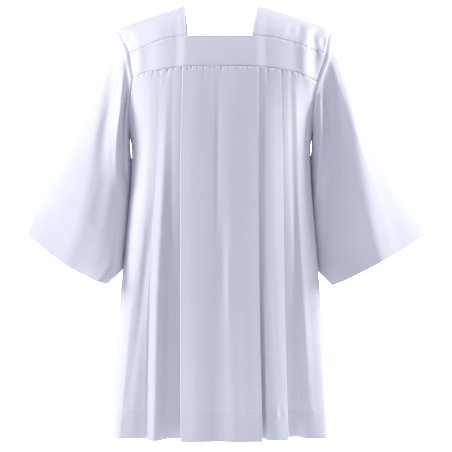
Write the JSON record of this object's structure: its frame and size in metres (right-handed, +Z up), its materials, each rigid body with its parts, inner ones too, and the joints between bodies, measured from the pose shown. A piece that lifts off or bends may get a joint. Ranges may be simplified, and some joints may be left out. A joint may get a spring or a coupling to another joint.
{
  "type": "rochet",
  "caption": "White pleated rochet, filled out and hollow: square neck, plain bands over box-pleated skirts, shoulder pieces and wide straight sleeves.",
  "frame": {"origin": "between the shoulders, level with the highest points of the neck edge, where the wearer's shoulders hold it", "axes": "+Z up, front faces -Y, the wearer's left is +X"},
  "size_m": [0.891, 0.2471, 0.9646],
  "materials": {
    "cloth": "white plain weave with a slight satin sheen"
  },
  "bodies": {
    "root": {"front_band": "cloth", "back_band": "cloth", "front_skirt": "cloth", "back_skirt": "cloth", "shoulder_left": "cloth", "shoulder_right": "cloth", "sleeve_left": "cloth", "sleeve_right": "cloth"}
  },
  "joints": []
}
